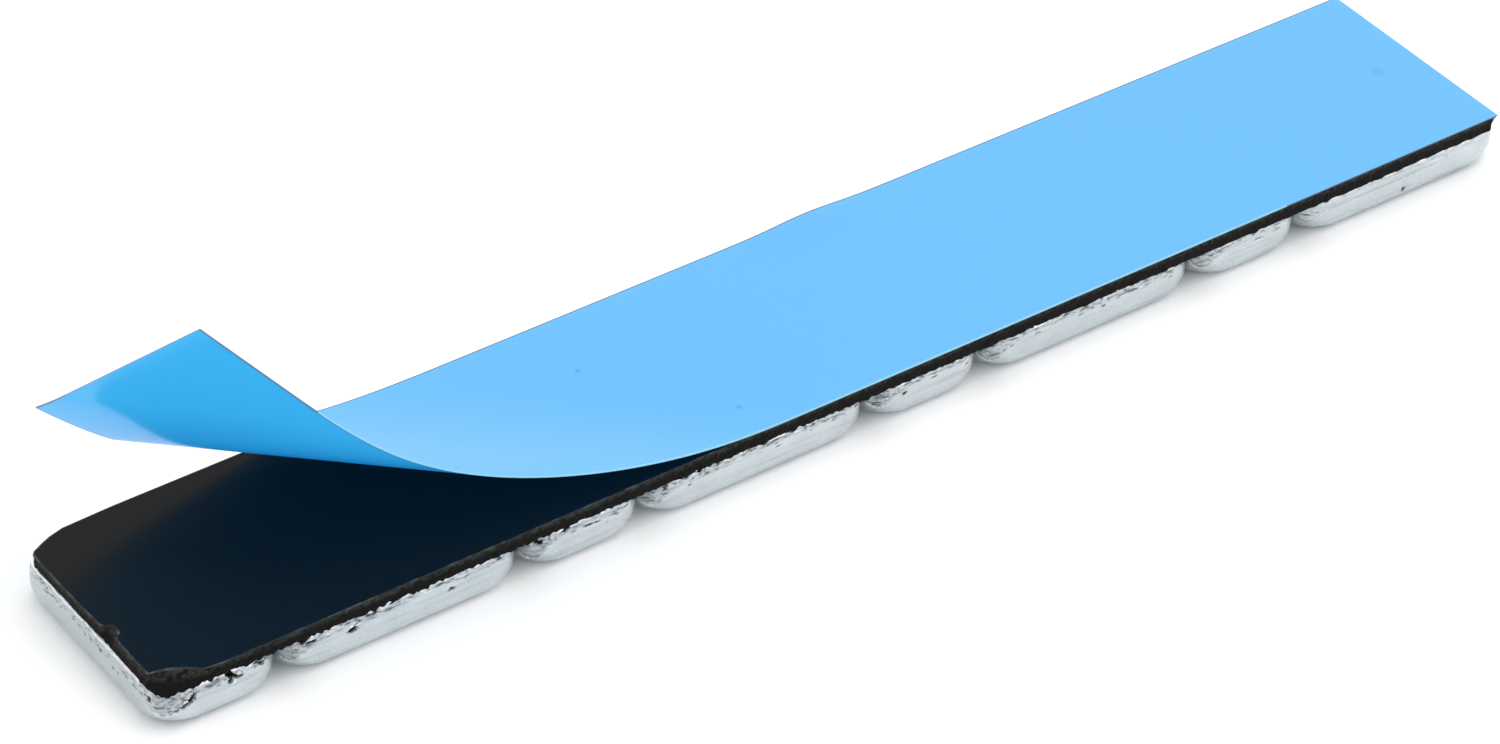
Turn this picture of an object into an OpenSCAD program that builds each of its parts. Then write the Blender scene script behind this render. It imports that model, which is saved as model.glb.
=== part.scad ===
// Self-adhesive wheel balance weight, lying on its steel with the tape side up.
// Pressed steel segments of 5 g and 10 g take turns along one strip of foam tape.
// The release liner still covers the far part of the tape and is peeled and curled at the near end.
// Origin: centre of the adhesive face, which goes on the rim. +X runs along the strip, +Z out of the tape.

/* [Steel segments] */
// Length of a 5 g segment along the strip
short_l = 10; // [8:0.1:12]
// Length of a 10 g segment along the strip
long_l = 19.5; // [16:0.1:24]
// Gap between two segments, bridged by the tape, where the strip is cut to weight
seg_gap = 0.15; // [0.1:0.05:1.5]
// Width of the steel across the strip
steel_w = 19; // [15:0.5:25]
// Thickness of the steel
steel_t = 3.45; // [2.5:0.05:5]
// Radius of a segment's corners seen from above
plan_r = 2.6; // [1.6:0.1:3.5]
// Radius pressed round the outer face of a segment
edge_r = 1; // [0.4:0.1:1.5]

/* [Foam tape] */
// Thickness of the foam with its adhesive
tape_t = 0.9; // [0.6:0.1:2]
// How far the tape stops short of the steel's far end
tape_short = 0.9; // [0:0.1:2]
// How much further the near end is cut back at its front corner than at its back corner
end_skew = 0.3; // [0.1:0.1:1.5]
// How far the adhesive face stands back from the foam's foot at the near end
end_lean = 0.2; // [0.1:0.1:1]
// Length along the strip over which the near end's back corner is cut back
back_cut_l = 5.6; // [2:0.2:10]
// How far in from the back edge that cut starts
back_cut_w = 1.2; // [0.4:0.1:2]
// Length along the strip of the corner torn off the adhesive face
tear_l = 4.4; // [4:0.2:12]
// How far that tear reaches in from the front edge
tear_w = 2.1; // [1.2:0.1:3]
// Width that the same tear still takes at the foam's foot
tear_foot = 1; // [0.2:0.1:1]
// Distance of the notch in the near end from the front edge
notch_y = 7.4; // [4:0.1:12]
// Radius of that notch
notch_r = 0.7; // [0.3:0.1:1]

/* [Release liner] */
// Thickness of the plastic film
film_t = 0.1; // [0.05:0.01:0.3]
// How far the film stands out past the front edge of the tape
over_front = 0.15; // [0:0.05:0.6]
// How far it stands out past the back edge
over_back = 0.35; // [0:0.05:0.6]
// How far it stands out past the tape's far end
over_end = 0.1; // [0:0.05:1]
// How far the film's near end stops short of the strip's near end, measured flat
short_end = 1.35; // [0.5:0.05:1.5]

/* [Peel and curl] */
// Flat distance from the near end to where the front edge leaves the tape
lift_front = 54.1; // [45:0.1:70]
// Flat distance from the near end to where the back edge leaves the tape
lift_back = 36.6; // [36:0.1:44]
// Flat distance from the near end to the last fold at the front edge
last_front = 9; // [6:0.2:14]
// Flat distance from the near end to the last fold at the back edge
last_back = 2; // [1.7:0.1:3]
// How far the middle folds are shifted away from the near end at the front edge
bow_front = 2.5; // [0:0.5:6]
// How far the middle folds are shifted towards the near end at the back edge
bow_back = 6.3; // [4:0.1:8]
// Total angle that the film turns through, in degrees
curl = 74; // [50:0.2:90]
// How much tighter the curl grows towards its free end
tighten = 1.2; // [0:0.05:2]
// How much of the bending gathers at both ends of the curl
gather = 0.3; // [0:0.05:0.5]
// Number of straight folds that make the smooth curl
folds = 36; // [16:2:60]

/* [Hidden] */
// The four pairs of a short and a long segment, short first from the near end
seg_l = [for (pair = [1:4]) each [short_l, long_l]];
strip_l = 4 * (short_l + long_l) + (len(seg_l) - 1) * seg_gap;
tape_l = strip_l - tape_short;
film_z = steel_t + tape_t;
// Share of the curl, at either end, over which the bending fades in and out
fade = 1 / 6;
// Overlap of a cutting tool past the face that it cuts
past = 1;

// Distance of segment i from the near end
function seg_x(i) = i == 0 ? 0 : seg_x(i - 1) + seg_l[i - 1] + seg_gap;

// All pieces are drawn from the strip's near front corner at the steel's outer face, and moved from there
module on_strip() {
    translate([-tape_l / 2, -steel_w / 2, -film_z]) children();
}

// Section of a segment's rim, from plan_r inside the wall out to the wall
module rim_section() {
    translate([0, edge_r]) square([plan_r, steel_t - edge_r]);
    square([plan_r - edge_r, steel_t]);
    translate([plan_r - edge_r, edge_r]) circle(edge_r, $fn = 32);
}

// One pressed segment: a flat core with a rim that turns at each corner and runs along each side
module pressed_pad(l) {
    w = steel_w;
    corners = [[l - plan_r, w - plan_r], [plan_r, w - plan_r], [plan_r, plan_r], [l - plan_r, plan_r]];
    translate([plan_r, plan_r, 0]) cube([l - 2 * plan_r, w - 2 * plan_r, steel_t]);
    for (k = [0:3]) {
        run = (k % 2 == 0 ? l : w) - 2 * plan_r;
        translate(corners[k]) rotate(90 * k) {
            rotate_extrude(angle = 90, $fn = 64) rim_section();
            translate([-run, 0, 0]) rotate([90, 0, 90]) linear_extrude(run) rim_section();
        }
    }
}

module steel_segment(i) {
    color("#BFCBD3") on_strip() translate([seg_x(i), 0, 0]) pressed_pad(seg_l[i]);
}

// All that lies outside a cut face, which meets the adhesive face at p and stands out further at its foot
module outside_cut(p, turn, lean) {
    block = strip_l + steel_w;
    translate([p.x, p.y, tape_t]) rotate([0, 0, turn]) rotate([-lean, 0, 0])
        translate([-block / 2, -block, -block / 2]) cube(block);
}

module foam_tape() {
    tear_turn = -atan2(tear_w, tear_l);
    back_turn = 180 + atan2(back_cut_w, back_cut_l);
    notch_x = end_lean + end_skew * (1 - notch_y / steel_w);
    color("#101820") on_strip() translate([0, 0, steel_t]) difference() {
        cube([tape_l, steel_w, tape_t]);
        outside_cut([end_lean, steel_w], atan2(-steel_w, end_skew), atan2(end_lean, tape_t));
        outside_cut([tear_l, 0], tear_turn, atan2((tear_w - tear_foot) * cos(tear_turn), tape_t));
        outside_cut([back_cut_l, steel_w], back_turn, atan2(end_lean, tape_t));
        translate([notch_x, notch_y, -past]) cylinder(r = notch_r, h = tape_t + 2 * past, $fn = 32);
    }
}

// The liner is one film that bends without stretching, so it turns about straight folds only.
// Fold k crosses the flat film at fold_front(k) on its front edge and at fold_back(k) on its back edge.
function progress(k) = (k + 0.5) / folds;
function bow(k) = 4 * progress(k) * (1 - progress(k));
function fold_front(k) = lift_front + (last_front - lift_front) * progress(k) + bow_front * bow(k);
function fold_back(k) = lift_back + (last_back - lift_back) * progress(k) - bow_back * bow(k);

// Each fold takes its share of the whole turn, growing towards the free end and fading at both ends
function weight(k) =
    exp(tighten * (progress(k) - 0.5))
    * min(1, progress(k) / fade, (1 - progress(k)) / fade)
    * (1 + gather * cos(360 * progress(k)));
function total(v, i = 0) = i < len(v) ? v[i] + total(v, i + 1) : 0;

// Turn by an angle about the line through p and q, which both lie in the flat film
function turn_about(p, q, angle) =
    let (n = (q - p) / norm(q - p), c = cos(angle), s = sin(angle), v = 1 - c,
         r = [[c + n.x * n.x * v, n.x * n.y * v, n.y * s],
              [n.x * n.y * v, c + n.y * n.y * v, -n.x * s],
              [-n.y * s, n.x * s, c]],
         shift = p - r * p)
    [[each r[0], shift.x], [each r[1], shift.y], [each r[2], shift.z], [0, 0, 0, 1]];

function front_point(x) = [x, -over_front, film_z];
function back_point(x) = [x, steel_w + over_back, film_z];
function unit(v) = v / norm(v);
function placed(pose, p) = let (q = pose * [p.x, p.y, p.z, 1]) [q.x, q.y, q.z];
function film_normal(pose) = [pose[0].z, pose[1].z, pose[2].z];

// The film as a row of four-point sections, from its far end over every fold to its free end
module curled_film() {
    shares = [for (k = [0:folds - 1]) weight(k)];
    sum = total(shares);
    turns = [for (k = [0:folds - 1])
        turn_about(back_point(fold_back(k)), front_point(fold_front(k)), -curl * shares[k] / sum)];
    flat = [[1, 0, 0, 0], [0, 1, 0, 0], [0, 0, 1, 0], [0, 0, 0, 1]];
    poses = [for (k = 0, pose = flat; k <= folds; pose = k < folds ? pose * turns[k] : pose, k = k + 1) pose];
    front_x = [tape_l + over_end, for (k = [0:folds - 1]) fold_front(k), short_end];
    back_x = [tape_l + over_end, for (k = [0:folds - 1]) fold_back(k), short_end];
    last = folds + 1;
    rings = [for (i = [0:last])
        let (before = poses[max(i - 1, 0)], after = poses[min(i, folds)],
             front = placed(after, front_point(front_x[i])),
             back = placed(after, back_point(back_x[i])),
             rise = film_t * unit(film_normal(before) + film_normal(after)))
        [front, back, back + rise, front + rise]];
    points = [for (ring = rings) each ring];
    sides = [for (i = [0:last - 1], j = [0:3])
        let (a = 4 * i + j, b = 4 * i + (j + 1) % 4)
        each [[a, a + 4, b + 4], [a, b + 4, b]]];
    polyhedron(points, [[0, 1, 2], [0, 2, 3], each sides,
                        [4 * last, 4 * last + 2, 4 * last + 1], [4 * last, 4 * last + 3, 4 * last + 2]]);
}

module release_liner() {
    color("#6CC0F8") on_strip() curled_film();
}

steel_segment(0);  // weight_5g_1
steel_segment(1);  // weight_10g_1
steel_segment(2);  // weight_5g_2
steel_segment(3);  // weight_10g_2
steel_segment(4);  // weight_5g_3
steel_segment(5);  // weight_10g_3
steel_segment(6);  // weight_5g_4
steel_segment(7);  // weight_10g_4
foam_tape();
release_liner();
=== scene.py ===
import math
import random

import bpy
import numpy as np
from mathutils import Matrix, Vector, noise


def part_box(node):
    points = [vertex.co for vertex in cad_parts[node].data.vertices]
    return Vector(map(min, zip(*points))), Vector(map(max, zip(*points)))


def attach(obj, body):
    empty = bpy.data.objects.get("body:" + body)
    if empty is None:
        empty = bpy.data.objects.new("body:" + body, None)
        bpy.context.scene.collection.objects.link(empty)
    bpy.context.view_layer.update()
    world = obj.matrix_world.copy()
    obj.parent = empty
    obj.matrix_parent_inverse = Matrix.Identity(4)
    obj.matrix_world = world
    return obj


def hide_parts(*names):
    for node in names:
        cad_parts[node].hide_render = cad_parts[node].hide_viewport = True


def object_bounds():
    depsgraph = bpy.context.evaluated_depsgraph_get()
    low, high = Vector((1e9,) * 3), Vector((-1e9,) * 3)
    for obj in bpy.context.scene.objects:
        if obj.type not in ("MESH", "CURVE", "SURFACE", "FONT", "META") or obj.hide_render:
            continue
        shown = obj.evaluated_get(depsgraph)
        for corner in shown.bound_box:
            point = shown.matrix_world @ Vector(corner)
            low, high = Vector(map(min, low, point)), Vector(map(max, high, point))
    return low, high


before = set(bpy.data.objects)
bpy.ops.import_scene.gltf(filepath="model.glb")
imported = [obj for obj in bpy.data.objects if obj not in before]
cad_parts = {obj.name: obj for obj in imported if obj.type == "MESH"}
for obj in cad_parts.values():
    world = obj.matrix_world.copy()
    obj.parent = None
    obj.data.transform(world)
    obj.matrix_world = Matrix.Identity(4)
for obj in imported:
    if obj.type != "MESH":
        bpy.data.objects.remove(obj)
cad_low, cad_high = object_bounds()
mm = 0.001

# The camera looks down on the strip from its near front corner, through a long lens.
# Its place and direction are in the strip's own frame, found from the strip's gaps and corners.
camera = bpy.data.objects.new("camera", bpy.data.cameras.new("camera"))
camera.data.sensor_width = 36
camera.data.lens = 137.56
camera.data.clip_start = 0.02
camera.location = (-0.1921, -0.27235, 0.25371)
view_direction = Vector((0.44934, 0.64985, -0.61302))
camera.rotation_euler = view_direction.to_track_quat("-Z", "Y").to_euler()
bpy.context.scene.collection.objects.link(camera)
bpy.context.scene.camera = camera


# Steel segments: pads of 5 g and 10 g, pressed and sheared from strip steel and then zinc plated.
# The press rounds the outer face's rim. The shear leaves a torn, pitted band with a burr next to the
# tape, and each pad is pushed on to the tape with a small gap to the next.
segments = sorted((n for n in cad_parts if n.startswith("weight_")), key=lambda n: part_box(n)[0].x)
strip_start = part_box(segments[0])[0]
strip_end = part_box(segments[-1])[1]
steel_foot = strip_start.z
plan_r = 2.6 * mm
edge_r = 1.0 * mm
# How torn and pitted each segment's sheared band is, from the near end on
tearing = [1.0, 0.95, 0.9, 1.0, 0.95, 0.85, 0.8, 0.4]


def colour(code):
    """Linear colour of an sRGB hex code."""
    parts = [int(code[i:i + 2], 16) / 255 for i in (0, 2, 4)]
    return [c / 12.92 if c <= 0.04045 else ((c + 0.055) / 1.055) ** 2.4 for c in parts] + [1.0]


def add(material, kind, inputs=None, **settings):
    """Adds a node, with its settings, and with each input as a value or as a link from another node."""
    node = material.node_tree.nodes.new(kind)
    for setting, value in settings.items():
        setattr(node, setting, value)
    for socket, value in (inputs or {}).items():
        if isinstance(value, bpy.types.NodeSocket):
            material.node_tree.links.new(value, node.inputs[socket])
        else:
            node.inputs[socket].default_value = value
    return node


def new_material(name):
    """An empty node material."""
    material = bpy.data.materials.new(name)
    material.use_nodes = True
    material.node_tree.nodes.clear()
    return material


def surface(material, shader):
    """Puts a shader node on the material's surface."""
    add(material, "ShaderNodeOutputMaterial", {"Surface": shader.outputs[0]})


def place_in(material):
    """The place of each point, in metres in the strip's own frame."""
    return add(material, "ShaderNodeTexCoord").outputs["Object"]


def drawn_out(material, place, scale):
    """The place with scaled axes, so that a pattern on it is longer along the axes scaled down."""
    return add(material, "ShaderNodeMapping", {"Vector": place, "Scale": scale}).outputs[0]


def painted(material, label):
    """The value that the mesh itself carries under this label."""
    return add(material, "ShaderNodeAttribute", attribute_name=label).outputs["Fac"]


def cloudy(material, place, size, detail, roughness=0.5):
    """Noise from 0 to 1, with grains of the given size in metres."""
    inputs = {"Vector": place, "Scale": 1 / size, "Detail": detail, "Roughness": roughness}
    return add(material, "ShaderNodeTexNoise", inputs).outputs["Fac"]


def ranged(material, value, start, end, first=0.0, last=1.0):
    """A value carried from one range to another, and held at its ends."""
    inputs = {"Value": value, 1: start, 2: end, 3: first, 4: last}
    return add(material, "ShaderNodeMapRange", inputs).outputs[0]


def calculated(material, operation, *values):
    """The result of a sum on values and outputs."""
    return add(material, "ShaderNodeMath", dict(enumerate(values)), operation=operation).outputs[0]


def blend(material, share, first, second):
    """The colour that lies between two by a share from 0 to 1."""
    return add(material, "ShaderNodeMix", {0: share, 6: first, 7: second}, data_type="RGBA").outputs[2]


def bumpy(material, height, strength, depth, **under):
    """Surface directions for bumps of a depth in metres, laid over others that are given as Normal."""
    inputs = {"Height": height, "Strength": strength, "Distance": depth, **under}
    return add(material, "ShaderNodeBump", inputs).outputs[0]


def grains(points, size, seed):
    """Noise from -1 to 1 at each point, with grains of the given size in metres."""
    shift = Vector((seed * 17.3, seed * 5.1, seed * 9.7))
    return np.array([noise.noise(Vector(p) / size + shift) for p in points])


def loops_to_mesh(name, loops, materials):
    """A closed mesh through loops of points, each with as many points, and with both ends capped."""
    count = len(loops[0])
    faces = [list(range(count))[::-1]]
    for k in range(len(loops) - 1):
        a, b = k * count, (k + 1) * count
        faces += [(a + i, a + (i + 1) % count, b + (i + 1) % count, b + i) for i in range(count)]
    faces.append([(len(loops) - 1) * count + i for i in range(count)])
    mesh = bpy.data.meshes.new(name)
    mesh.from_pydata(np.concatenate(loops).tolist(), [], faces)
    for material in materials:
        mesh.materials.append(material)
    piece = bpy.data.objects.new(name, mesh)
    bpy.context.scene.collection.objects.link(piece)
    return piece


def pad_outline(length, width, radii, turns, runs):
    """Points round a pad's plan, anticlockwise from the front right corner, and the way out at each."""
    points, ways = [], []
    front_right, back_right, back_left, front_left = radii
    centres = [(length - front_right, front_right), (length - back_right, width - back_right),
               (back_left, width - back_left), (front_left, front_left)]
    for k, (centre, r) in enumerate(zip(centres, radii)):
        for i in range(turns):
            angle = math.radians(-90 + 90 * k + 90 * i / turns)
            ways.append((math.cos(angle), math.sin(angle)))
            points.append((centre[0] + r * ways[-1][0], centre[1] + r * ways[-1][1]))
        way = (math.cos(math.radians(90 * k)), math.sin(math.radians(90 * k)))
        after = (k + 1) % 4
        start = np.array(centre) + r * np.array(way)
        end = np.array(centres[after]) + radii[after] * np.array(way)
        for i in range(runs[k]):
            ways.append(way)
            points.append(tuple(start + (end - start) * i / runs[k]))
    return np.array(points), np.array(ways)


def zinc_plated_steel():
    """Bright zinc over pressed steel: satin and bluish, mottled with painted shade where sheared, with
    painted shade in its pits and on its end walls and painted highlights on its flakes and burr.
    """
    material = new_material("zinc_plated_steel")
    place = place_in(material)
    torn = painted(material, "torn")
    # Cloudy patches a few millimetres across, as passivated zinc has
    cloud = cloudy(material, place, 2.2 * mm, 3.0)
    plating = blend(material, cloud, colour("BDC7CC"), colour("D8DEE1"))
    # Faint draw lines along the walls, 0.3 mm apart, and painted shade that darkens the end walls
    lines = cloudy(material, drawn_out(material, place, (0.05, 0.05, 1.0)), 0.3 * mm, 2.0)
    line = ranged(material, lines, 0.55, 0.7, 0.0, 0.24)
    lined = blend(material, line, plating, colour("8C959A"))
    end_shaded = blend(material, painted(material, "cut"), lined, colour("A2ABAB"))
    # The shear's torn grain: flakes about 0.6 mm long and 0.2 mm high, with painted shade in their
    # hollows
    grain = cloudy(material, drawn_out(material, place, (0.35, 0.35, 1.0)), 0.22 * mm, 3.0, 0.65)
    hollow_shade = ranged(material, grain, 0.5, 0.36, 0.0, 0.9)
    torn_hollow_shade = calculated(material, "MULTIPLY", torn, hollow_shade)
    hollow_shaded = blend(material, torn_hollow_shade, end_shaded, colour("596165"))
    # Painted highlights: the burr and the torn flakes are coloured white where they would flash
    with_painted_glints = blend(material, painted(material, "painted_glint"), hollow_shaded, colour("FFFFFF"))
    # Painted shade: the pits, gashes and creases are coloured near black, as shade inside them
    base = blend(material, painted(material, "pit_shade"), with_painted_glints, colour("17191A"))
    # The plating's own grit, about 0.12 mm, makes it satin, and the torn band a little more so
    grit = cloudy(material, place, 0.12 * mm, 2.0)
    satin = ranged(material, grit, 0.0, 1.0, 0.2, 0.38)
    rough = calculated(material, "MULTIPLY_ADD", torn, 0.05, satin)
    gritty = bumpy(material, grit, 0.25, 0.02 * mm)
    relief = bumpy(material, grain, torn, 0.25 * mm, Normal=gritty)
    surface(material, add(material, "ShaderNodeBsdfPrincipled", {
        "Base Color": base, "Metallic": 1.0, "Roughness": rough, "Normal": relief}))
    return material


zinc = zinc_plated_steel()

# Gashes, draw lines and pits seen on the front and the near end, in mm: place from the strip's near
# front corner at its foot, half length, half height and depth
seen_gashes = [
    (3.15, 0.0, 2.35, 0.2, 0.36, 0.36), (2.9, 0.0, 2.02, 0.4, 0.18, 0.34),
    (2.4, 0.0, 1.9, 0.36, 0.15, 0.3), (2.5, 0.0, 2.48, 0.28, 0.08, 0.16),
    (1.9, 0.0, 1.75, 0.25, 0.1, 0.12), (5.7, 0.0, 3.15, 0.3, 0.35, 0.4),
    (5.9, 0.0, 2.75, 0.26, 0.32, 0.38), (6.3, 0.0, 2.55, 0.36, 0.15, 0.3),
    (5.75, 0.0, 2.4, 0.17, 0.24, 0.28), (8.3, 0.0, 2.75, 0.45, 0.15, 0.25),
    (7.6, 0.0, 2.75, 0.18, 0.09, 0.14), (11.5, 0.0, 3.1, 0.4, 0.34, 0.34),
    (12.3, 0.0, 2.7, 0.5, 0.2, 0.15), (15.75, 0.0, 2.3, 0.37, 0.27, 0.4),
    (17.3, 0.0, 2.93, 0.5, 0.12, 0.2), (23.4, 0.0, 2.15, 0.3, 0.16, 0.2),
    (27.5, 0.0, 2.9, 0.35, 0.12, 0.16), (30.9, 0.0, 2.65, 0.5, 0.2, 0.22),
    (33.0, 0.0, 3.05, 0.45, 0.15, 0.2), (35.0, 0.0, 2.55, 0.5, 0.13, 0.18),
    (109.4, 0.0, 1.05, 0.24, 0.2, 0.16), (107.5, 0.0, 2.15, 6.5, 0.07, 0.025),
    (110.5, 0.0, 2.7, 5.5, 0.06, 0.02), (60.3, 0.9, 1.6, 0.6, 0.07, 0.12),
    (100.3, 0.9, 2.0, 0.9, 0.07, 0.06), (62.8, 0.0, 2.1, 0.2, 0.1, 0.16),
    (80.5, 0.0, 2.2, 0.16, 0.1, 0.16), (0.0, 16.1, 3.2, 0.16, 0.14, 0.18),
    (0.0, 15.7, 3.05, 0.14, 0.16, 0.2), (0.0, 15.3, 2.85, 0.13, 0.15, 0.16),
    (0.0, 14.4, 2.7, 0.14, 0.13, 0.16), (0.0, 13.2, 2.57, 0.1, 0.1, 0.1),
    (0.0, 11.5, 2.75, 0.15, 0.12, 0.13), (0.0, 10.8, 2.6, 0.14, 0.1, 0.13),
    (0.0, 10.0, 2.45, 0.12, 0.13, 0.14), (0.0, 9.15, 2.5, 0.15, 0.14, 0.16),
    (0.0, 7.9, 2.45, 0.16, 0.12, 0.15), (0.0, 7.05, 2.6, 0.14, 0.1, 0.12),
    (0.0, 6.35, 2.15, 0.16, 0.15, 0.16), (0.0, 5.75, 2.1, 0.12, 0.14, 0.14),
    (0.0, 3.3, 2.5, 0.16, 0.12, 0.14), (0.0, 2.55, 2.5, 0.18, 0.14, 0.16),
    (0.0, 1.5, 2.55, 0.16, 0.2, 0.2)]

# Flakes seen on the front, in the same terms, with how far each stands out; each also gets a painted
# highlight
seen_flakes = [
    (2.65, 0.0, 2.26, 0.26, 0.1, 0.05), (5.95, 0.0, 2.2, 0.16, 0.08, 0.05),
    (7.3, 0.0, 3.05, 0.3, 0.1, 0.05)]

# How far each segment's front edge is broken down, in mm
front_roll = [0.08, 0.1, 0.16, 0.22, 0.28, 0.3, 0.32, 0.32]


def places_on_wall(marks, points, walked):
    """The marks that lie on this pad, each with its place as a distance walked round the pad."""
    found = []
    for x, y, z, half_l, half_h, deep in marks:
        away = np.linalg.norm(points - (strip_start.x + x * mm, strip_start.y + y * mm), axis=1)
        if away.min() < 1.2 * mm:
            found.append((walked[away.argmin()], z * mm, half_l * mm, half_h * mm, deep * mm))
    return found


def steel_pad(name, index):
    """One segment, with its sheared band torn, pitted and burred in the mesh itself."""
    low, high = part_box(name)
    luck = random.Random(40 + index)
    step = 0.1 * mm
    length, width, height = high.x - low.x, high.y - low.y, high.z - low.z
    # The strip's near back corner is sharper than the others
    sharper = [1, 1, 0.75 if index == 0 else 1, 1]
    turns = round(plan_r * math.pi / 2 / step)
    runs = [round((side - 2 * plan_r) / step) for side in (width, length, width, length)]
    points, ways = pad_outline(length, width, [plan_r * k for k in sharper], turns, runs)
    points += (low.x, low.y)
    walked = np.r_[0, np.cumsum(np.linalg.norm(np.diff(points, axis=0), axis=1))]
    round_trip = walked[-1] + step
    wear = tearing[index]
    gashes = places_on_wall(seen_gashes, points, walked)
    flakes_and_glints = places_on_wall(seen_flakes, points, walked)
    for _ in range(int(round_trip / mm * 1.8 * wear)):
        gashes.append((luck.uniform(0, round_trip), luck.gauss(2.8, 0.3) * mm,
                       luck.uniform(0.06, 0.35) * mm, luck.uniform(0.03, 0.08) * mm,
                       luck.uniform(0.04, 0.12) * mm * wear))
    ends = np.abs(ways[:, 0])
    # The torn band is the wall's top quarter, and reaches lower at the front left corner
    corner = np.linalg.norm(points - (low.x + 0.8 * mm, low.y + 0.8 * mm), axis=1)
    at_corner = np.exp(-(corner / (1.6 * mm)) ** 2)
    along_walk = [(w, 0, index) for w in walked]
    band = (2.5 + 0.35 * grains(along_walk, 4 * mm, 3) - 1.2 * at_corner) * mm
    # The front is sheared roughly and the near end more cleanly
    rough_side = wear * (1 - 0.65 * ends * (1 - at_corner))
    # The front edge is broken down under the tape, and more so on the far segments
    broken = front_roll[index] * mm * np.clip(-2 * ways[:, 1] - 0.4, 0, 1)
    chips = grains(along_walk, 0.75 * mm, 5)
    teeth = grains(along_walk, 0.3 * mm, 6)
    # Rows up the pad, as the inset and the height: the pressed rim, the wall, and the top's edge
    rim = [math.radians(90 * k / 9) for k in range(10)]
    rows = [(edge_r + 1.2 * mm, 0)]
    rows += [(edge_r * (1 - math.sin(a)), edge_r * (1 - math.cos(a))) for a in rim]
    rows += [(0, edge_r + (height - edge_r) * share) for share in np.linspace(0, 1, 28)[1:-1]]
    rows += [(inset * mm, height - drop * mm)
             for inset, drop in ((0.02, 0.05), (0.04, 0.02), (0.08, 0), (0.3, 0), (0.8, 0))]
    # How far down from the top edge the wall leans in, the broken edge reaches and the burr reaches
    lean_h, roll_h, burr_h = 1.0 * mm, 0.8 * mm, 0.3 * mm
    loops, pit_shades, torns, painted_glints, cuts = [], [], [], [], []
    for inset, z in rows:
        # The corners bulge: they are sharpest halfway up, and wider where the press drew them in
        drawn_in = max(0, 1 - z / (1.7 * mm))
        sheared = max(0, (z - 2.0 * mm) / (1.4 * mm))
        radius = plan_r * (0.8 + 0.7 * drawn_in ** 1.5 + 0.3 * sheared ** 1.5)
        around, _ = pad_outline(length, width, [radius * k for k in sharper], turns, runs)
        place = np.c_[around + (low.x, low.y) - inset * ways, np.full(len(ways), low.z + z)]
        wall = 1.0 if inset < 0.2 * mm and z > 0.3 * mm else 0.0
        in_band = np.clip((z - band) / (0.3 * mm), 0, 1) * wall
        lean = min(1, max(0, (z - height + lean_h) / lean_h)) ** 1.6
        out = -0.03 * mm - lean * 0.05 * mm
        flakes = grains(place * (0.33, 0.33, 1.0), 0.3 * mm, index)
        fine = grains(place, 0.28 * mm, index + 20)
        soft = grains(place * (0.5, 0.5, 1.0), 1.5 * mm, index + 40)
        out += wall * soft * 0.035 * mm
        out += in_band * rough_side * (flakes * 0.12 + fine * 0.03) * mm
        # Painted shade in the torn band's deepest hollows
        pit_shade = in_band * rough_side * (1 - 0.5 * at_corner) * np.clip(-2.6 * flakes - 0.75, 0, 0.8)
        # The crease where the press's smooth draw ends and the shear begins
        crease = wall * rough_side * np.exp(-((z - band) / (0.1 * mm)) ** 2)
        out -= (0.02 + 0.12 * at_corner) * mm * crease
        # Painted shade in the crease at the front left corner
        pit_shade = np.maximum(pit_shade, at_corner * crease * np.clip(0.5 + 1.5 * fine, 0, 0.7))
        for s, g, half_l, half_h, deep in gashes:
            along = (walked - s + round_trip / 2) % round_trip - round_trip / 2
            # The deepest ones are punched clean, the others are torn
            ragged = 1 + (0.2 if deep > 0.39 * mm else 0.6) * fine
            near = (along / (half_l * ragged)) ** 2 + ((z - g) / (half_h * ragged)) ** 2
            hole = wall * np.clip(1.25 - near, 0, 1)
            out -= deep * hole
            # Painted shade inside each gash
            pit_shade = np.maximum(pit_shade, np.clip(hole * 1.8 * min(1, deep / (0.14 * mm)), 0, 1))
            out += wall * 0.3 * deep * np.exp(-((near - 1.9) / 0.6) ** 2) * (z > g)
        # Painted highlight on the torn flakes, coloured white by the zinc's shader
        painted_glint = in_band * rough_side * (1 - 0.7 * at_corner) * np.clip(3 * flakes - 0.9, 0, 0.8)
        for s, g, half_l, half_h, deep in flakes_and_glints:
            along = (walked - s + round_trip / 2) % round_trip - round_trip / 2
            flake_and_glint = wall * np.clip(1.3 - (along / half_l) ** 2 - ((z - g) / half_h) ** 2, 0, 1)
            out += deep * flake_and_glint
            painted_glint = np.maximum(painted_glint, flake_and_glint)
            pit_shade *= 1 - flake_and_glint
        # The burr stands out past the tape's foot here and there, and is nibbled away elsewhere
        share = wall * min(1, max(0, (z - height + burr_h) / burr_h))
        # Painted highlight: a white line along the burr, a little broken up
        edge_line = np.clip((z - height + (0.3 - 0.2 * ends) * mm) / (0.1 * mm), 0, 1)
        burr_glint = np.clip(0.9 + 1.5 * fine * (0.3 + rough_side), 0, 1)
        painted_glint = np.maximum(painted_glint, wall * edge_line * burr_glint)
        out += share * rough_side * np.clip(chips, -0.6, 0.5) * 0.12 * mm
        # An edge that is broken down further is also nibbled more
        nibbled = min(1, 0.25 + 3.5 * front_roll[index]) * (1 - 0.8 * at_corner)
        place[:, 2] += share * rough_side * nibbled * (0.16 * chips + 0.09 * teeth) * mm
        place[:, 2] -= wall * broken * min(1, max(0, (z - height + roll_h) / roll_h))
        # Painted shade in the burr's nibbled hollows
        pit_shade = np.maximum(pit_shade, share * np.clip(-2.5 * (chips + 0.8 * teeth) - 0.9, 0, 1) * rough_side)
        place[:, :2] += ways * out[:, None]
        place = np.clip(place, cad_low, cad_high)
        loops.append(place)
        pit_shades.append(pit_shade)
        torns.append(in_band * rough_side)
        painted_glints.append(painted_glint)
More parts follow.
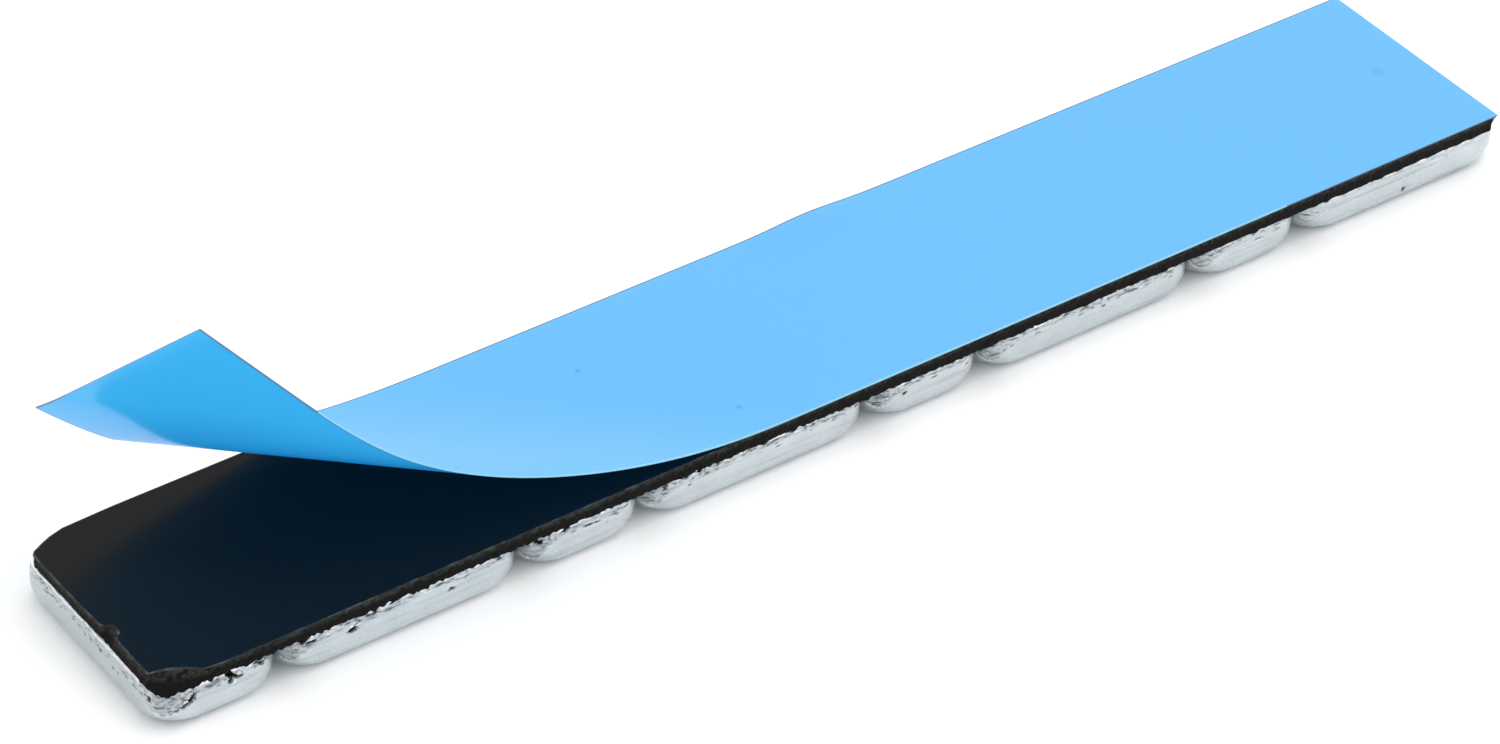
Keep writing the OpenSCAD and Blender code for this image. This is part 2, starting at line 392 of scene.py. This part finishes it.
        # Painted shade: the share by which the end walls are darkened
        cuts.append(0.25 * wall * ends ** 2)
    piece = loops_to_mesh(name + "_pressed", loops, [zinc])
    # What the zinc's shader reads at each point
    for label, values in (("pit_shade", pit_shades), ("torn", torns), ("painted_glint", painted_glints), ("cut", cuts)):
        layer = piece.data.attributes.new(label, "FLOAT", "POINT")
        layer.data.foreach_set("value", np.concatenate(values).astype(np.float32))
    piece.data.shade_smooth()
    piece.data.set_sharp_from_angle(angle=math.radians(60))
    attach(piece, "root")
    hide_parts(name)
    return piece


for number, segment in enumerate(segments):
    steel_pad(segment, number)


# Foam tape: black closed-cell foam with a clear acrylic adhesive on both faces, slit to the strip's
# width. Its knife-cut sides are matt with open cells, its adhesive face is as glossy as wet paint, and
# its near front corner was torn off with the liner.
tape_low, tape_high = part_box("foam_tape")
lip = 0.11 * mm


def black_foam():
    """Polyethylene foam: matt and near black, with torn cells that catch a little light."""
    material = new_material("black_polyethylene_foam")
    place = place_in(material)
    # Open cells of 0.22 mm, and dust on them in grains of 0.4 mm
    cells = add(material, "ShaderNodeTexVoronoi", {"Vector": place, "Scale": 1 / (0.22 * mm)})
    dust = ranged(material, cloudy(material, place, 0.4 * mm, 4.0), 0.38, 0.64)
    tone = blend(material, dust, colour("060706"), colour("3A3C36"))
    # It is blacker towards its foot
    rise = add(material, "ShaderNodeSeparateXYZ", {"Vector": place}).outputs["Z"]
    above_foot = ranged(material, rise, tape_low.z + 0.3 * mm, tape_low.z + 0.6 * mm)
    blacker_foot = blend(material, above_foot, colour("050505"), tone)
    bump = bumpy(material, cells.outputs["Distance"], 0.7, 0.08 * mm)
    surface(material, add(material, "ShaderNodeBsdfPrincipled", {
        "Base Color": blacker_foot, "Roughness": 0.8, "IOR": 1.3, "Normal": bump}))
    return material


def clear_adhesive():
    """Acrylic adhesive on black foam: a smooth, tacky coat, black below a soft, weak mirror."""
    material = new_material("acrylic_adhesive_on_black")
    # The coat follows the foam in long, very low waves
    waves = cloudy(material, place_in(material), 9 * mm, 1.0)
    bump = bumpy(material, waves, 0.2, 0.15 * mm)
    surface(material, add(material, "ShaderNodeBsdfPrincipled", {
        "Base Color": colour("0E0E0D"), "Roughness": 0.24, "IOR": 1.27, "Normal": bump}))
    return material


def adhesive_lip():
    """The adhesive's squeezed edge: a thin grey line, a painted highlight, broken into black stretches
    by noise.
    """
    material = new_material("adhesive_lip")
    highlight_breaks = cloudy(material, place_in(material), 0.9 * mm, 3.0)
    highlit_share = ranged(material, highlight_breaks, 0.46, 0.66)
    # Painted highlight: grey where the edge would catch the light, black elsewhere
    tone = blend(material, highlit_share, colour("101211"), colour("43484A"))
    surface(material, add(material, "ShaderNodeBsdfPrincipled", {
        "Base Color": tone, "Roughness": 0.35, "IOR": 1.42}))
    return material


length_mm = (tape_high.x - tape_low.x) / mm
width_mm = (tape_high.y - tape_low.y) / mm
# Outline of the tape in mm from the near front corner, as pairs of the foam's foot and the adhesive
# face. It starts where the tear leaves the front edge and goes round anticlockwise: the far end, which
# leans out a little, the back corner cut back, the near end with its nick, and the torn front corner.
tape_outline = [
    ((3.4, 0.0), (5.2, 0.02)), ((length_mm - 0.3, -0.04), (length_mm - 0.03, -0.12)),
    ((length_mm - 0.2, 0.1), (length_mm, -0.06)),
    ((length_mm - 0.2, width_mm - 0.2), (length_mm, width_mm - 0.2)),
    ((length_mm - 0.2, width_mm), (length_mm - 0.2, width_mm)),
    ((7.0, width_mm), (7.5, width_mm - 0.05)), ((3.1, 18.9), (3.4, 18.82)),
    ((2.0, 18.6), (2.2, 18.5)), ((1.25, 18.3), (1.5, 18.2)), ((0.7, 18.0), (0.95, 17.9)),
    ((0.35, 17.65), (0.55, 17.7)), ((0.17, 17.2), (0.3, 17.4)), ((0.15, 16.2), (0.26, 16.3)),
    ((0.19, 13.5), (0.24, 13.4)), ((0.17, 10.8), (0.3, 10.8)), ((0.21, 8.35), (0.36, 8.3)),
    ((0.22, 7.95), (0.5, 8.0)), ((0.2, 7.75), (1.0, 7.75)), ((0.18, 7.1), (1.15, 7.1)),
    ((0.17, 6.6), (1.0, 6.65)), ((0.16, 6.25), (0.62, 6.4)), ((0.15, 5.7), (0.52, 5.7)),
    ((0.14, 3.6), (0.5, 3.6)), ((0.12, 1.6), (0.52, 1.9)), ((0.3, 0.93), (1.1, 1.82)),
    ((0.5, 0.4), (1.7, 1.68)), ((1.0, 0.06), (2.4, 1.35)), ((1.8, 0.0), (3.2, 0.85)),
    ((2.6, 0.0), (3.9, 0.2))]


def tape_piece():
    """The tape's solid: foot, ragged foam side, proud lip of adhesive, and the flat adhesive face."""
    step = 0.12
    foot, face = [], []
    for here, there in zip(tape_outline, tape_outline[1:] + tape_outline[:1]):
        foot_run = np.array(there[0]) - np.array(here[0])
        face_run = np.array(there[1]) - np.array(here[1])
        steps = max(1, *(round(np.linalg.norm(run) / step) for run in (foot_run, face_run)))
        for i in range(steps):
            foot.append(np.array(here[0]) + foot_run * i / steps)
            face.append(np.array(here[1]) + face_run * i / steps)
    corner = np.array([strip_start.x, strip_start.y])
    foot, face = np.array(foot) * mm + corner, np.array(face) * mm + corner

    def ways_out(loop):
        along = np.roll(loop, -1, axis=0) - np.roll(loop, 1, axis=0)
        along /= np.linalg.norm(along, axis=1)[:, None]
        return np.c_[along[:, 1], -along[:, 0]]

    ways = ways_out(foot)
    thick = tape_high.z - tape_low.z
    # Where the foam is torn, its side is a wide slope, and rougher
    slope = np.clip(np.linalg.norm(face - foot, axis=1) / mm - 0.5, 0, 1)
    walk = np.r_[0, np.cumsum(np.linalg.norm(np.diff(foot, axis=0), axis=1))]
    sag = np.clip(grains([(w, 0, 0) for w in walk], 0.8 * mm, 61) + 0.1, 0, 1)
    hang = np.clip(grains([(w, 0, 9) for w in walk], 0.35 * mm, 62) + 0.2, 0, 1)
    sag *= 1 - 0.75 * np.abs(ways[:, 0])
    # It stays up at the near back corner
    from_back_corner = np.linalg.norm(foot - corner - (0.3 * mm, 17.8 * mm), axis=1)
    sag *= np.clip(from_back_corner / (1.5 * mm) - 0.5, 0, 1)
    # Along the front it follows the steel's broken edge down
    middles = [(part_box(n)[0].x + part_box(n)[1].x) / 2 for n in segments]
    follow = np.interp(foot[:, 0], middles, front_roll) * np.clip(-2 * ways[:, 1] - 0.4, 0, 1)
    # Each row: share of the way from foot to face, how far out it stands, how much the cells roughen it
    rows = [(0.0, -0.9, 0), (0.0, -0.06, 1)]
    rows += [(share, -0.05, 1) for share in np.linspace(0.08, 1 - lip / thick - 0.06, 9)]
    rows += [(1 - lip / thick, 0.02, 0.35), (1 - 0.5 * lip / thick, 0.04, 0.2), (1.0, 0.0, 0.1),
             (1.0, -0.09, 0), (1.0, -0.3, 0)]
    hanging_rows, foam_rows = 3, 10
    loops = []
    for k, (share, out, cells) in enumerate(rows):
        flat = foot + (face - foot) * share
        place = np.c_[flat, np.full(len(flat), tape_low.z + thick * share)]
        rough = grains(place, 0.3 * mm, 71) * 0.05 + grains(place, 0.12 * mm, 72) * 0.02
        if 0 < k <= hanging_rows:
            # The foot squeezes out over the steel's edge and hangs down it in ragged drops
            fall = 1 - (k - 1) / hanging_rows
            rough = rough + fall * (0.02 + 0.12 * sag)
            place[:, 2] -= fall * (0.2 * sag * hang + 0.04 + follow) * mm
        if 0 < k <= foam_rows:
            place[:, 2] += slope * cells * (grains(place, 0.35 * mm, 73) * 0.24 - 0.06) * mm
        place[:, :2] += ways * ((out + cells * rough) * mm)[:, None]
        loops.append(np.clip(place, cad_low, cad_high))
    piece = loops_to_mesh("foam_tape_strip", loops, [black_foam(), clear_adhesive(), adhesive_lip()])
    lip_from = len(foot) * (len(loops) - 4) + 1
    adhesive_from = len(foot) * (len(loops) - 2) + 1
    for face_index, polygon in enumerate(piece.data.polygons):
        if face_index >= adhesive_from:
            polygon.material_index = 1
        elif face_index >= lip_from:
            polygon.material_index = 2
    piece.data.shade_smooth()
    piece.data.set_sharp_from_angle(angle=math.radians(50))
    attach(piece, "root")
    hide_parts("foam_tape")
    return piece


tape = tape_piece()


# Release liner: one strip of blue polyethylene film, silicone coated below so that it lets go of the
# adhesive. It lies on the tape, and at the near end it is peeled up and keeps the curl of its roll.
# It bends without stretching, about straight folds that fan across it.
# Its overhangs, lift and fan of folds are the solid's, with more folds and the turn fitted to its box.
film_thickness = 0.1 * mm
over_front = 0.15 * mm
over_back = 0.35 * mm
over_end = 0.1 * mm
short_end = 1.35 * mm
lift_front, lift_back = 54.1 * mm, 36.6 * mm
last_front, last_back = 9 * mm, 2 * mm
bow_front, bow_back = 2.5 * mm, 6.3 * mm
curl = math.radians(73.3)
tighten = 1.2
gather = 0.3
folds = 160
# The back corner was pinched: the folds bunch in a crease at the back edge, which leaves a flat flap
crease_x = 7.95 * mm
bunching = 0.4 * mm
flap_from = 0.84
flap_jump = 8.5 * mm
flap_blend = 0.02
# Narrow strips along both edges carry a painted highlight or painted shade. The front one has the
# painted highlight up to lit_to from the near end, and the cut below it from lit_from on; the rest of
# the edges have painted shade.
painted_edge_strip = 0.11 * mm
lit_from, lit_to = 12 * mm, 98 * mm
# A small blister at the back edge, where the film was not rubbed down
blister_x, blister_l, blister_w, blister_h = 67.2 * mm, 3.5 * mm, 2.0 * mm, 0.28 * mm
# Specks on the film, in mm from the strip's near front corner, and their radii
specks = [(28.7, 15.8, 0.25), (32.8, 14.3, 0.2), (42.7, 13.2, 0.3), (49.9, 3.1, 0.3), (114.4, 9.5, 0.7)]


def release_film(name, code, through_code, gloss, through_share, index=1.5, speck=0.0):
    """Blue film from one side: its own colour, the colour of light that came through, and its gloss."""
    material = new_material(name)
    place = place_in(material)
    # Faint drawing marks along the film, 3 mm apart
    marks = cloudy(material, drawn_out(material, place, (0.15, 1.0, 1.0)), 3 * mm, 2.0)
    bump = bumpy(material, marks, 0.12, 0.05 * mm)
    tone = colour(code)
    for x, y, radius in specks if speck else []:
        spot = (strip_start.x + x * mm, strip_start.y + y * mm, tape_high.z)
        away = add(material, "ShaderNodeVectorMath", {0: place, 1: spot}, operation="DISTANCE")
        # A larger speck is fainter, and each fades from a third of its radius on
        strength = speck * 0.25 / max(radius, 0.25)
        dark = ranged(material, away.outputs["Value"], 0.3 * radius * mm, radius * mm, strength, 0.0)
        tone = blend(material, dark, tone, colour("2A4F70"))
    coloured = add(material, "ShaderNodeBsdfPrincipled", {
        "Base Color": tone, "Roughness": gloss, "IOR": index, "Normal": bump})
    through = add(material, "ShaderNodeBsdfTranslucent", {"Color": colour(through_code)})
    body = add(material, "ShaderNodeMixShader", {
        0: through_share, 1: coloured.outputs[0], 2: through.outputs[0]})
    # The gloss lies over the light that comes through as well
    fresnel = add(material, "ShaderNodeFresnel", {"IOR": index, "Normal": bump})
    over = calculated(material, "MULTIPLY", fresnel.outputs[0], through_share)
    mirror = add(material, "ShaderNodeBsdfGlossy", {"Roughness": gloss, "Normal": bump})
    coated = add(material, "ShaderNodeMixShader", {0: over, 1: body.outputs[0], 2: mirror.outputs[0]})
    # Light that is inside the film already leaves it without a second loss
    inside = add(material, "ShaderNodeNewGeometry").outputs["Backfacing"]
    clear = add(material, "ShaderNodeBsdfTransparent", {"Color": (1, 1, 1, 1)})
    surface(material, add(material, "ShaderNodeMixShader", {
        0: inside, 1: coated.outputs[0], 2: clear.outputs[0]}))
    return material


def turn_about(p, q, angle):
    """The turn by an angle about the line through p and q."""
    turn = Matrix.Rotation(angle, 4, (q - p).normalized())
    return Matrix.Translation(p) @ turn @ Matrix.Translation(-p)


def liner_piece():
    """The film as rows from its far end, over every fold, to its free end."""
    top = tape_high.z
    front_y, back_y = strip_start.y - over_front, strip_end.y + over_back
    far = tape_high.x + over_end
    near = strip_start.x
    progress = [(k + 0.5) / folds for k in range(folds)]
    # Each fold's share of the whole turn grows towards the free end and fades at both ends
    weights = [math.exp(tighten * (t - 0.5)) * min(1, 6 * t, 6 * (1 - t))
               * (1 + gather * math.cos(2 * math.pi * t)) for t in progress]
    flat_rows = 90
    first = Vector((near + lift_front, front_y, top)), Vector((near + lift_back, back_y, top))
    stations = []
    for i in range(flat_rows):
        share = i / flat_rows
        stations.append((Vector((far, front_y, top)).lerp(first[0], share),
                         Vector((far, back_y, top)).lerp(first[1], share), Matrix.Identity(4)))
    pose = Matrix.Identity(4)
    end = near + short_end
    corner_done = False
    for t, weight in zip(progress, weights):
        bow = 4 * t * (1 - t)
        front_x = near + lift_front + (last_front - lift_front) * t + bow_front * bow
        smooth_x = lift_back + (last_back - lift_back) * t - bow_back * bow
        creased_x = crease_x + bunching * math.log1p(math.exp((smooth_x - crease_x) / bunching))
        back_x = near + creased_x - flap_jump / (1 + math.exp((flap_from - t) / flap_blend))
        back = Vector((back_x, back_y, top))
        front = Vector((front_x, front_y, top))
        if back_x < end:
            # This fold runs out over the free end, so the row before it keeps the film's corner
            if not corner_done:
                stations.append((Vector(((stations[-1][0].x + front_x) / 2, front_y, top)),
                                 Vector((end, back_y, top)), pose.copy()))
                corner_done = True
            back_stop = front.lerp(back, (front_x - end) / (front_x - back_x))
        else:
            back_stop = back
        stations.append((front, back_stop, pose.copy()))
        pose = pose @ turn_about(back, front, -curl * weight / sum(weights))
    end_rows = 8
    for i in range(1, end_rows + 1):
        stations.append((front.lerp(Vector((end, front_y, top)), i / end_rows),
                         back_stop - Vector((0, 0.02 * mm * i, 0)), pose.copy()))
    edge_share = painted_edge_strip / (back_y - front_y)
    strips = 40
    shares = [0, edge_share] + [j / strips for j in range(1, strips)] + [1 - edge_share, 1]
    across = len(shares) - 1
    under, rises = [], []
    for flat_front, flat_back, pose in stations:
        front, back = pose @ flat_front, pose @ flat_back
        under.append([front.lerp(back, share) for share in shares])
        rises.append((pose.to_3x3() @ Vector((0, 0, 1))) * film_thickness)
    for point in (p for row in under for p in row if p.z < top + 0.01 * mm):
        reach = ((point.x - near - blister_x) / blister_l) ** 2 + ((point.y - back_y) / blister_w) ** 2
        point.z += blister_h * math.exp(-reach)
    rows, columns = len(under), across + 1
    points = [p for row in under for p in row]
    points += [p + rise for row, rise in zip(under, rises) for p in row]
    high = rows * columns
    faces, kinds = [], []
    outer, silicone, lit_edge, shaded_edge = range(4)
    for i in range(rows - 1):
        front_strip = lit_edge if stations[i][0].x < near + lit_to else outer
        for j in range(across):
            a, b = i * columns + j, (i + 1) * columns + j
            faces += [(a, b, b + 1, a + 1), (high + a, high + a + 1, high + b + 1, high + b)]
            kinds.append(shaded_edge if j in (0, across - 1) else silicone)
            kinds.append(front_strip if j == 0 else shaded_edge if j == across - 1 else outer)
    edge = [i * columns for i in range(rows)] + [(rows - 1) * columns + j for j in range(1, columns)]
    edge += [i * columns + across for i in range(rows - 2, -1, -1)]
    edge += [j for j in range(across - 1, 0, -1)]
    for a, b in zip(edge, edge[1:] + edge[:1]):
        faces.append((a, high + a, high + b, b))
        on_front = a % columns == 0 and b % columns == 0
        lit = near + lit_from < stations[a // columns][0].x < near + lit_to
        kinds.append(lit_edge if on_front and lit else shaded_edge)
    mesh = bpy.data.meshes.new("release_liner_film")
    mesh.from_pydata([tuple(p) for p in points], [], faces)
    # Satin outside, glossy below where the silicone is, and with a painted highlight or painted shade
    # along the edges
    sides = [release_film("blue_film_outer_side", "68C2FF", "5CB6F8", 0.4, 0.06, speck=0.5),
             release_film("blue_film_silicone_side", "66E4FF", "00A0FF", 0.15, 0.5, index=1.65),
             # Painted highlight on the lit front edge, and painted shade on the other edges
             release_film("blue_film_lit_edge", "9CE4FF", "9CE4FF", 0.3, 0.3),
             release_film("blue_film_shaded_edge", "5A82AC", "5A82AC", 0.3, 0.2)]
    for side in sides:
        mesh.materials.append(side)
    mesh.polygons.foreach_set("material_index", kinds)
    piece = bpy.data.objects.new("release_liner_film", mesh)
    bpy.context.scene.collection.objects.link(piece)
    mesh.shade_smooth()
    mesh.set_sharp_from_angle(angle=math.radians(40))
    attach(piece, "root")
    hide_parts("release_liner")
    return piece


liner = liner_piece()


# Floor: seamless white paper under the strip, which keeps its soft contact shadow.
# Seen straight or in a mirror it is a touch brighter than the light that it gives off, so that it
# goes to plain white further off.
def white_paper():
    """Matt white paper."""
    material = new_material("white_paper_floor")
    path = add(material, "ShaderNodeLightPath").outputs
    seen = calculated(material, "MAXIMUM", path["Is Camera Ray"], path["Is Glossy Ray"])
    seen = calculated(material, "MAXIMUM", seen, path["Is Transmission Ray"])
    shade = blend(material, seen, (0.92, 0.92, 0.92, 1), (1.16, 1.16, 1.16, 1))
    surface(material, add(material, "ShaderNodeBsdfDiffuse", {"Color": shade}))
    return material


floor_mesh = bpy.data.meshes.new("floor")
reach = 2.0
floor_mesh.from_pydata([(-reach, -reach, steel_foot), (reach, -reach, steel_foot),
                        (reach, reach, steel_foot), (-reach, reach, steel_foot)], [], [(0, 1, 2, 3)])
floor_mesh.materials.append(white_paper())
floor = bpy.data.objects.new("floor", floor_mesh)
bpy.context.scene.collection.objects.link(floor)

# Light: a white light tent with a dim opening towards the camera, a large soft box above the strip, and
# a weaker one that lights its front. Together they give the pale walls and the soft, short shadow.
world = bpy.data.worlds.new("white_tent")
bpy.context.scene.world = world
world.use_nodes = True


def tent_wall():
    """The tent's brightness in each direction: bright low walls, a softer roof, and a dim opening."""
    way = add(world, "ShaderNodeTexCoord").outputs["Generated"]
    rise = add(world, "ShaderNodeSeparateXYZ", {"Vector": way}).outputs["Z"]
    wall = ranged(world, rise, 0.3, 0.58, 1.25, 0.76)
    opening = (-0.55, -0.79, 0.27)
    facing = add(world, "ShaderNodeVectorMath", {0: way, 1: opening}, operation="DOT_PRODUCT")
    dim = ranged(world, facing.outputs["Value"], 0.8, 0.95, 1.0, 0.2)
    background = world.node_tree.nodes["Background"].inputs
    background["Color"].default_value = (1, 1, 1, 1)
    world.node_tree.links.new(calculated(world, "MULTIPLY", wall, dim), background["Strength"])


tent_wall()


def soft_box(name, place, size, power):
    """A square lamp that looks at the strip."""
    lamp = bpy.data.objects.new(name, bpy.data.lights.new(name, "AREA"))
    lamp.data.shape = "SQUARE"
    lamp.data.size = size
    lamp.data.energy = power
    lamp.location = place
    lamp.rotation_euler = (-Vector(place)).to_track_quat("-Z", "Y").to_euler()
    bpy.context.scene.collection.objects.link(lamp)


soft_box("overhead_soft_box", (0.25, -0.05, 0.9), 0.7, 2.5)
soft_box("front_soft_box", (0.4, -0.55, 0.6), 0.4, 0.45)

bpy.context.scene.view_settings.view_transform = "Standard"
